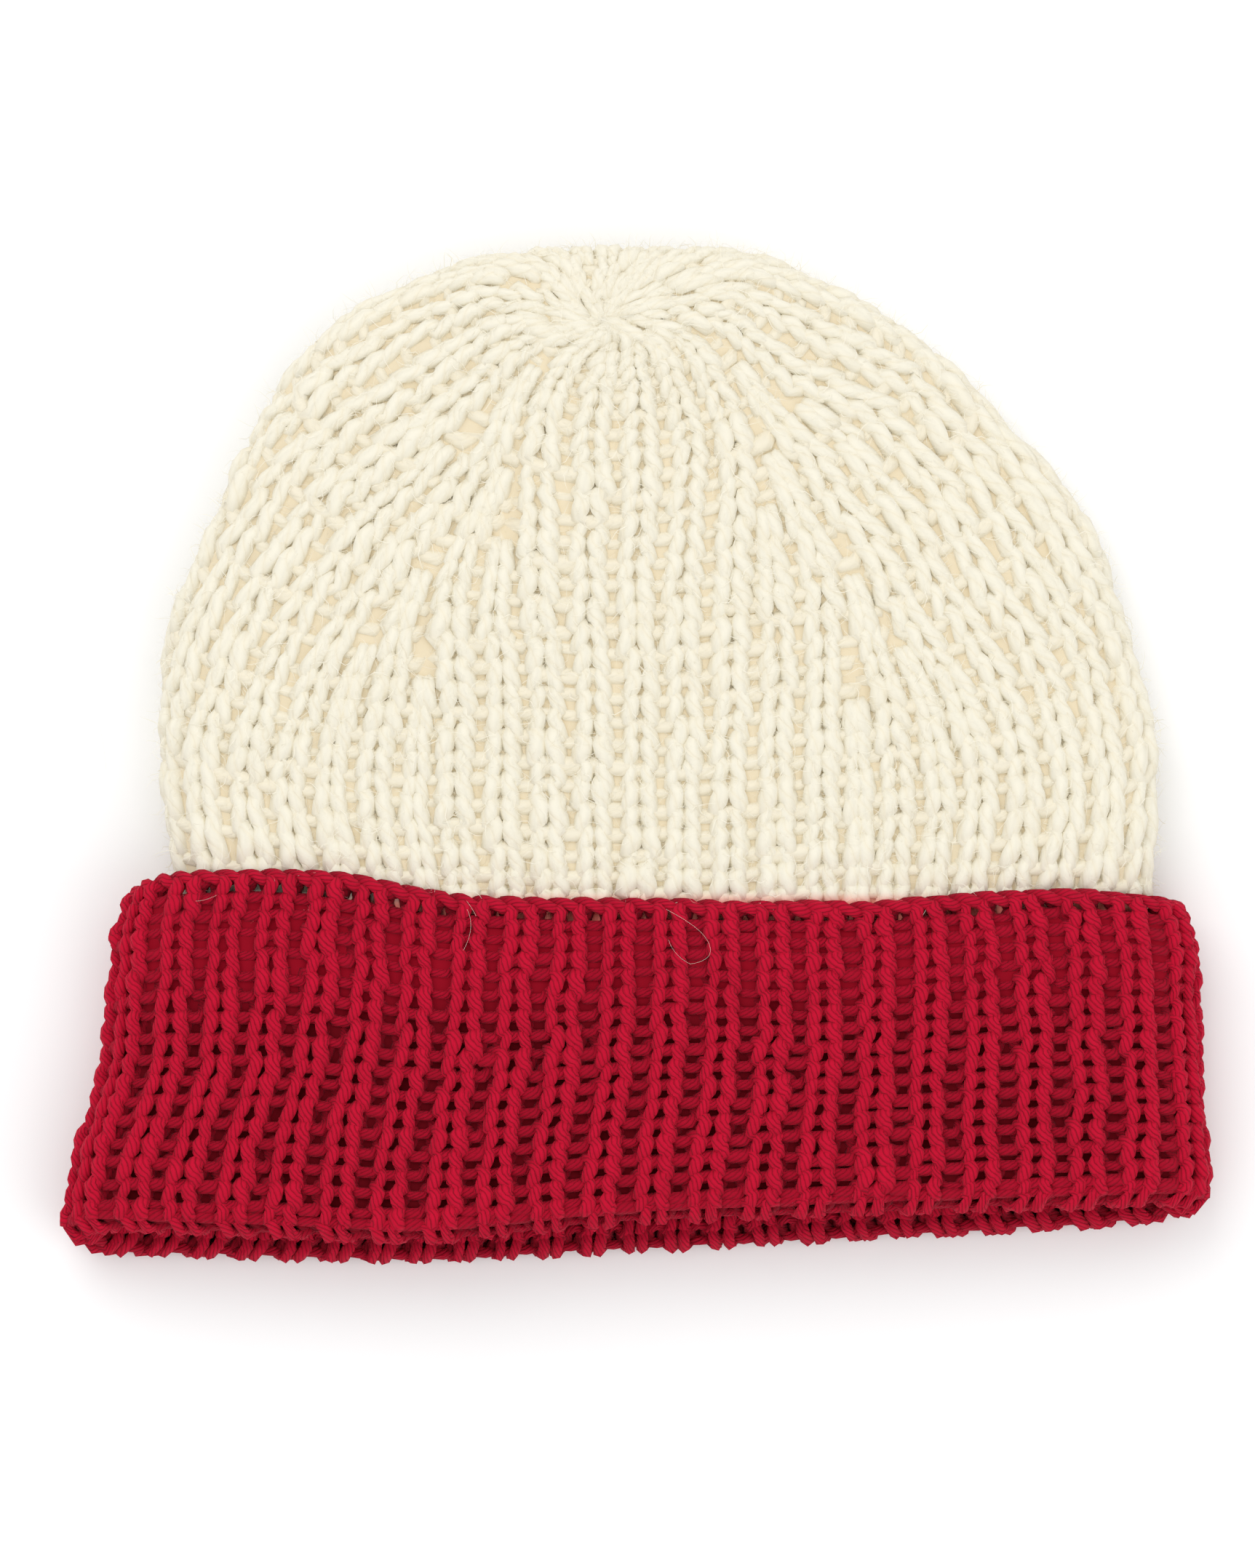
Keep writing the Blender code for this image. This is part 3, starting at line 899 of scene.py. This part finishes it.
# The fold and the inner layer of the cuff, in the same yarn. The band turns inwards at the foot and
# runs up inside the turned-up layer to the seam with the crown.
INNER_COURSES = 15
INNER_LOOP_START = 0.1
INSIDE_ROWS = 12
FOLD_ROWS = 6
fold_length = math.pi * FOLD_RADIUS
inner_length = CUFF_HEIGHT - CROWN_TUCK
fold_share = fold_length / (fold_length + inner_length)
inner_rows = [
    (fold_share * row / FOLD_ROWS, place_loop(cuff_fold(1 - row / FOLD_ROWS), cuff_shares))
    for row in range(FOLD_ROWS + 1)
]
inner_rows += [
    (
        fold_share + (1 - fold_share) * row / INSIDE_ROWS,
        place_loop(cuff_inside(row / INSIDE_ROWS), cuff_shares),
    )
    for row in range(1, INSIDE_ROWS + 1)
]
inner_surface = knit_surface("inner chart", inner_rows, -1)
INNER_LOOP = [
    (-0.250, -0.24, 0.00, 0.94),
    (-0.140, -0.02, 0.90, 1.04),
    (-0.165, 0.52, 1.00, 1.04),
    (-0.185, 0.98, 0.30, 0.94),
    (0.000, 1.18, -0.10, 0.90),
    (0.185, 0.98, 0.30, 0.94),
    (0.165, 0.52, 1.00, 1.04),
    (0.140, -0.02, 0.90, 1.04),
]
inner_loop = template("inner loop", knit_and_purl(INNER_LOOP, PURL_BULGE))
courses = [
    (start + INNER_LOOP_START * rise, rise, 1.0, even_ribs(RIBS))
    for start, rise in course_lines([1] * INNER_COURSES)
]
piece = bake(
    "cuff_inside_and_fold",
    RIB_KNIT,
    rib_chart("inner cuff chart", courses, spread=0.03, seed=31),
    {
        **CRIMSON_YARN,
        "Surface": inner_surface,
        "Loop": inner_loop,
        "Points a Rib": 2 * len(INNER_LOOP),
        "Sides": 5,
        "Seed": 8.0,
    },
)
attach(piece, "root")
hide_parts("cuff")


# The cream crown, knitted in the same rib from a soft thick wool, from the seam hidden in the cuff to
# the gathered top. Ribs are decreased along four lines, two in front and two behind.
CROWN_LOFT = 0.0225
CROWN_COLUMNS = "share front front_z back back_z left right ends lift camber".split()
CROWN_SECTIONS = [
    (0.00, -0.0875, 0.8756, -0.1095, 0.2000, 0.4572, 0.5086, 0.0346, 0.000, 0.133),
    (0.10, 0.006, 0.920, 0.023, 0.200, 0.456, 0.511, 0.045, 0.012, 0.15),
    (0.22, 0.119, 0.955, 0.181, 0.025, 0.468, 0.515, 0.075, 0.075, 0.19),
    (0.36, 0.257, 0.985, 0.367, 0.005, 0.463, 0.486, 0.115, 0.085, 0.22),
    (0.50, 0.395, 1.000, 0.550, 0.005, 0.413, 0.437, 0.160, 0.115, 0.22),
    (0.63, 0.522, 1.000, 0.719, 0.005, 0.357, 0.331, 0.205, 0.143, 0.20),
    (0.74, 0.629, 0.990, 0.860, 0.030, 0.294, 0.251, 0.225, 0.115, 0.16),
    (0.83, 0.715, 0.965, 0.957, 0.195, 0.213, 0.180, 0.200, 0.073, 0.10),
    (0.90, 0.784, 0.930, 0.984, 0.500, 0.152, 0.116, 0.140, 0.045, 0.04),
    (0.96, 0.839, 0.890, 0.943, 0.745, 0.089, 0.049, 0.070, 0.014, 0.00),
    (1.00, 0.877, 0.850, 0.884, 0.830, 0.036, -0.030, 0.003, 0.000, 0.00),
]
# Each dent's share of the way up, its place across from -1 to 1, its depth as a share of the loft and
# its reach as a share of the crown's width.
CROWN_DENTS = [
    (0.70, -0.46, 0.110, 0.055),
    (0.52, 0.30, 0.055, 0.090),
    (0.34, -0.35, 0.045, 0.080),
    (0.84, 0.35, 0.060, 0.045),
]


def crown_section(share):
    """The loop of the crown at a share of the way from the seam to the gathered top."""
    row = dict(zip(CROWN_COLUMNS[1:], read_table(CROWN_SECTIONS, share)))
    lift = row["lift"] * CROWN_LENGTH

    def arched(y):
        return lambda across: EDGE_Y + y * CROWN_LENGTH + lift * across**2

    return {
        "left": row["left"] * CROWN_WIDTH,
        "right": row["right"] * CROWN_WIDTH,
        "ends": row["ends"] * CROWN_WIDTH,
        "front": arched(row["front"]),
        "back": arched(row["back"]),
        "front_z": LAYER_HALF + row["front_z"] * CROWN_LOFT,
        "back_z": LAYER_HALF + row["back_z"] * CROWN_LOFT,
        "camber": row["camber"] * CROWN_LOFT,
    }


def dented(points):
    """Presses the front of the crown down in its dents."""
    for share, across, depth, reach in CROWN_DENTS:
        section = crown_section(share)
        half = (section["left"] + section["right"]) / 2
        x = (section["right"] - section["left"]) / 2 + across * half
        y = section["front"](np.array([across]))[0]
        middle = (section["front_z"] + section["back_z"]) / 2
        away = np.hypot(points[:, 0] - x, points[:, 1] - y) / (reach * CROWN_WIDTH)
        front = points[:, 2] > middle
        points[front, 2] -= depth * CROWN_LOFT * np.exp(-away[front] ** 2)
    return points


CROWN_ROWS = 40
CROWN_STEPS = [1.0] * 23 + [0.9, 0.82, 0.74, 0.68, 0.62, 0.58, 0.54, 0.50, 0.46]
CROWN_LINES_UP = course_lines(CROWN_STEPS)
CROWN_STRETCH = 0.06
CROWN_STRETCH_PLACE = 0.47
crown_shares = eased(np.linspace(0, 1, AROUND_STEPS + 1), CROWN_STRETCH, CROWN_STRETCH_PLACE)
crown_rows = [
    (row / CROWN_ROWS, dented(place_loop(crown_section(row / CROWN_ROWS), crown_shares)))
    for row in range(CROWN_ROWS + 1)
]
crown_surface = knit_surface("crown chart", crown_rows, 1)

# Along the knit, the width of one rib in metres.
RIB_WIDTHS = [
    (0.00, 0.0090),
    (0.15, 0.0091),
    (0.35, 0.0094),
    (0.55, 0.0102),
    (0.70, 0.0107),
    (0.82, 0.0104),
    (0.90, 0.0082),
    (0.96, 0.0066),
    (1.00, 0.0052),
]
# Where the front's middle rib is, the fewest ribs left, how many ribs narrow at a time, the width at
# which one is dropped, how far a column may drift in a course, and the yarn's size in short courses.
FRONT_RIB_X = -0.0006
FEWEST_RIBS = 6
NARROWING = 14
LEAST_WIDTH = 0.4
MOST_DRIFT = 0.0016
LEAST_YARN = 0.55
YARN_GAIN = 0.45


def crown_ribs(share, order):
    """Every rib's place round the loop at a course and its width, narrow where it is being decreased."""
    section = crown_section(share)
    points = place_loop(section, crown_shares)
    length = np.linalg.norm(np.diff(points, axis=0), axis=1).sum()
    alive = max(length / read_table(RIB_WIDTHS, share)[0], FEWEST_RIBS) + NARROWING / 2
    widths = np.clip((alive - order) / NARROWING, 0, 1)
    edges = np.concatenate([[0], np.cumsum(widths)]) / widths.sum()
    middles = (edges[1:] + edges[:-1]) / 2
    front_x = FRONT_RIB_X - (section["right"] - section["left"]) / 2
    moved = 0.5 + front_x / length - middles[RIBS // 2]
    return middles + moved, widths / widths.sum(), widths > LEAST_WIDTH, length


def crown_course(start, rise, step, order):
    """A course of the crown for the chart: each rib alive, drifting towards its place in the next."""
    places, widths, alive, length = crown_ribs(start + rise / 2, order)
    ahead = crown_ribs(min(start + rise * 1.5, 1), order)[0]
    drifts = np.clip(ahead - places, -MOST_DRIFT / length, MOST_DRIFT / length)
    ribs = [
        (float(places[rib]), float(widths[rib]), float(drifts[rib])) for rib in np.flatnonzero(alive)
    ]
    return start + rise, rise, LEAST_YARN + YARN_GAIN * step, ribs


# Each line of decreases is this many ribs from the middle of the front or back. The ribs nearest to it
# go first, odd ones before even ones, and not quite evenly.
DECREASE_LINE = 6
ODD_FIRST = 1.5
UNEVEN = 0.3
UNEVEN_TURN = 7.0
rib_numbers = np.arange(RIBS)
from_front = np.abs(rib_numbers - RIBS // 2)
from_middle = np.minimum(from_front, RIBS // 2 - from_front)
nearness = DECREASE_LINE - np.abs(from_middle - DECREASE_LINE)
turn_taken = nearness + ODD_FIRST * (rib_numbers % 2) + UNEVEN * np.sin(UNEVEN_TURN * rib_numbers)
decrease_order = np.argsort(np.argsort(turn_taken))

# Painted light: a pink painted on the cream wool and its fibres below and just over the cuff's edge, for
# red light bounced from the crimson cuff.
PAINTED_RED_BOUNCE = ((1.0, 0.28, 0.22, 1), -0.0016, 0.0034)
CREAM_SHEEN = (1.0, 0.97, 0.90, 1)
# Painted shade: the cream is darker and browner deep in the knit and in its ply grooves than at its
# surface; low on the crown it carries the painted red bounce light.
CREAM_WOOL = wool(
    "cream wool",
    ((0.80, 0.71, 0.53, 1), (0.81, 0.745, 0.585, 1), (0.825, 0.785, 0.66, 1)),
    plies=3, ply_length=0.016, relief=0.00012, sheen=0.15, tint=CREAM_SHEEN,
    low_painted_light=PAINTED_RED_BOUNCE,
)
# The fluff is a little darker where it grows deep in the knit, as painted shade.
CREAM_FLUFF = wool(
    "cream fluff",
    ((0.84, 0.80, 0.68, 1), (0.84, 0.80, 0.68, 1), (0.86, 0.82, 0.70, 1)),
    plies=1, ply_length=0.016, relief=0.0, sheen=0.1, tint=CREAM_SHEEN,
)
CROWN_LOOP = [
    (-0.285, -0.20, 0.10, 0.98),
    (-0.205, -0.14, 0.76, 1.02),
    (-0.145, 0.14, 1.00, 1.10),
    (-0.215, 0.54, 1.00, 1.10),
    (-0.285, 0.92, 0.66, 1.04),
    (-0.130, 1.14, 0.20, 1.12),
    (0.130, 1.14, 0.20, 1.12),
    (0.285, 0.92, 0.66, 1.04),
    (0.215, 0.54, 1.00, 1.10),
    (0.145, 0.14, 1.00, 1.10),
    (0.205, -0.14, 0.76, 1.02),
]
CROWN_BULGE = 0.45
CROWN_SPLIT = 12
FLUFF_DENSITY = 165000.0
FLUFF_LENGTH = 0.0044
crown_loop = template("crown loop", [
    (across, -along, depth, thick)
    for across, along, depth, thick in knit_and_purl(CROWN_LOOP, CROWN_BULGE)
])
for part, (first, last) in {"lower": (0, CROWN_SPLIT), "upper": (CROWN_SPLIT, len(CROWN_STEPS))}.items():
    courses = [
        crown_course(start, rise, step, decrease_order)
        for (start, rise), step in list(zip(CROWN_LINES_UP, CROWN_STEPS))[first:last]
    ]
    chart = rib_chart(f"crown chart {part}", courses, spread=0.05, seed=51 + first)
    piece = bake(
        f"crown_knit_{part}",
        RIB_KNIT,
        chart,
        {
            "Surface": crown_surface,
            "Loop": crown_loop,
            "Points a Rib": 2 * len(CROWN_LOOP),
            "Yarn Radius": 0.00190,
            "Depth": 0.00125,
            "Wander": 0.012,
            "Wander Size": 1.5,
            "Seed": 21.0,
            "Yarn": CREAM_WOOL,
        },
    )
    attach(piece, "root")
    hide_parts("crown")
    hairs = fluff(
        f"crown_fluff_{part}", piece, FLUFF_DENSITY, FLUFF_LENGTH, EDGE_Y, 7 + first, CREAM_FLUFF
    )
    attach(hairs, "root")
    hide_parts("crown")

# Fibres of the cream wool bridge the holes, and stand out most just over the seam. The fibres are real;
# their tan colour, darker than the yarn's surface, is painted shade in the holes, and low on the crown they
# carry the painted red bounce light.
CREAM_WEB = wool(
    "cream fibres",
    ((0.73, 0.62, 0.43, 1), (0.73, 0.62, 0.43, 1), (0.80, 0.71, 0.53, 1)),
    plies=3, ply_length=0.016, relief=0.0001, sheen=0.1, tint=CREAM_SHEEN,
    low_painted_light=PAINTED_RED_BOUNCE,
)
cream_depths = np.interp(np.arange(CROWN_ROWS + 1), [1, 2], [0.0028, 0.0009])
piece = fibre_web("crown_fibres", crown_rows, 1, cream_depths, CREAM_WEB)
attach(piece, "root")
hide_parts("crown")


# A few loose hairs of the cream wool lie on the front of the hat, caught in the nap of the knit. Each is
# a thin strand along a smooth line of (x, y) places, and lies on top of the yarn.
HAIR_RADIUS = 0.00002
HAIR_LIFT = 0.0004
YARN_TOP = 0.0030
OVER_EDGE = 0.002
CROWN_TOP_Z = LAYER_HALF + CROWN_LOFT * 0.97
CROWN_CAMBER = CROWN_LOFT * 0.19
STRAY_HAIRS = [
    [(-0.0998, -0.0262), (-0.1010, -0.0298), (-0.0985, -0.0322), (-0.0942, -0.0318), (-0.0893, -0.0288)],
    [(-0.0852, -0.0268), (-0.0893, -0.0290), (-0.0940, -0.0302), (-0.0975, -0.0290)],
    [(0.0065, -0.0335), (0.0128, -0.0368), (0.0172, -0.0412), (0.0162, -0.0448), (0.0118, -0.0455)],
    [(0.0118, -0.0455), (0.0082, -0.0438), (0.0070, -0.0402)],
    [(-0.0372, -0.0335), (-0.0358, -0.0362), (-0.0362, -0.0392), (-0.0380, -0.0425)],
    [(-0.0388, -0.0300), (-0.0366, -0.0322), (-0.0352, -0.0350)],
    [(-0.1182, 0.0065), (-0.1172, 0.0022), (-0.1168, -0.0030)],
    [(-0.0365, 0.0012), (-0.0350, -0.0030), (-0.0352, -0.0068)],
]


def hair_height(x, y):
    """The height of the hat's front under a hair."""
    top, half, camber = CROWN_TOP_Z, CROWN_WIDTH / 2, CROWN_CAMBER
    if y < EDGE_Y + OVER_EDGE:
        top, half, camber = INNER_FRONT_Z + LAYER_PITCH, CUFF_WIDTH / 2, CUFF_CAMBER
    return top - camber * min(1, (x / half) ** 2) + YARN_TOP


hair_lines = bpy.data.curves.new("stray hairs", "CURVE")
hair_lines.dimensions = "3D"
hair_lines.bevel_depth = HAIR_RADIUS
hair_lines.bevel_resolution = 0
hair_lines.use_fill_caps = True
hair_lines.resolution_u = 6
for line in STRAY_HAIRS:
    spline = hair_lines.splines.new("NURBS")
    spline.points.add(len(line) - 1)
    spline.order_u = 4
    spline.use_endpoint_u = True
    for number, (point, (x, y)) in enumerate(zip(spline.points, line)):
        point.co = (x, y, hair_height(x, y) + HAIR_LIFT * (number % 2), 1)
hair_curve = bpy.data.objects.new("stray hair lines", hair_lines)
bpy.context.scene.collection.objects.link(hair_curve)
bpy.context.view_layer.update()
hair_mesh = bpy.data.meshes.new_from_object(hair_curve)
hair_mesh.shade_smooth()
bpy.data.objects.remove(hair_curve)
hairs = bpy.data.objects.new("stray_hairs", hair_mesh)
bpy.context.scene.collection.objects.link(hairs)
hair_mesh.materials.clear()
hair_mesh.materials.append(CREAM_FLUFF)
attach(hairs, "root")


# The surfaces and patterns that the knit was laid on are tools, not pieces of the hat.
for tool in (outer_surface, inner_surface, crown_surface, cuff_loop, inner_loop, crown_loop,
             cast_on_loop, crossing_loop, fibre):
    bpy.data.objects.remove(tool)


# A pale floor, soft studio light and a camera straight above, as the hat was photographed. The view
# transform keeps the paper as white as it is there.
FLOOR_HALF = 3.0
SKY_STRENGTH = 0.88
CAMERA_PLACE = (-0.0020, -0.0060, 1.75)
mesh = bpy.data.meshes.new("floor")
mesh.from_pydata(
    [
        (-FLOOR_HALF, -FLOOR_HALF, 0),
        (FLOOR_HALF, -FLOOR_HALF, 0),
        (FLOOR_HALF, FLOOR_HALF, 0),
        (-FLOOR_HALF, FLOOR_HALF, 0),
    ],
    [],
    [(0, 1, 2, 3)],
)
floor = bpy.data.objects.new("floor", mesh)
bpy.context.scene.collection.objects.link(floor)
paper = bpy.data.materials.new("white paper")
paper.use_nodes = True
paper_shader = paper.node_tree.nodes["Principled BSDF"]
paper_shader.inputs["Base Color"].default_value = (0.97, 0.97, 0.97, 1)
paper_shader.inputs["Roughness"].default_value = 0.9
mesh.materials.append(paper)

world = bpy.context.scene.world or bpy.data.worlds.new("studio")
bpy.context.scene.world = world
world.use_nodes = True
sky = world.node_tree.nodes["Background"]
sky.inputs["Color"].default_value = (1, 1, 1, 1)
sky.inputs["Strength"].default_value = SKY_STRENGTH

LIGHTS = [
    ("key", (-0.5, 0.9, 1.3), 1.2, 8.0),
    ("fill", (0.9, -0.5, 1.2), 1.2, 4.0),
]
for name, place, size, power in LIGHTS:
    light = bpy.data.lights.new(name, "AREA")
    light.shape = "DISK"
    light.size = size
    light.energy = power
    lamp = bpy.data.objects.new(name, light)
    lamp.location = place
    aim = np.array(place) / np.linalg.norm(place)
    lamp.rotation_euler = (math.acos(aim[2]), 0, math.atan2(aim[1], aim[0]) + math.pi / 2)
    bpy.context.scene.collection.objects.link(lamp)

lens = bpy.data.cameras.new("camera")
lens.sensor_width = 36
lens.lens = 180
bpy.context.scene.view_settings.view_transform = "Standard"
camera = bpy.data.objects.new("camera", lens)
camera.location = CAMERA_PLACE
bpy.context.scene.collection.objects.link(camera)
bpy.context.scene.camera = camera
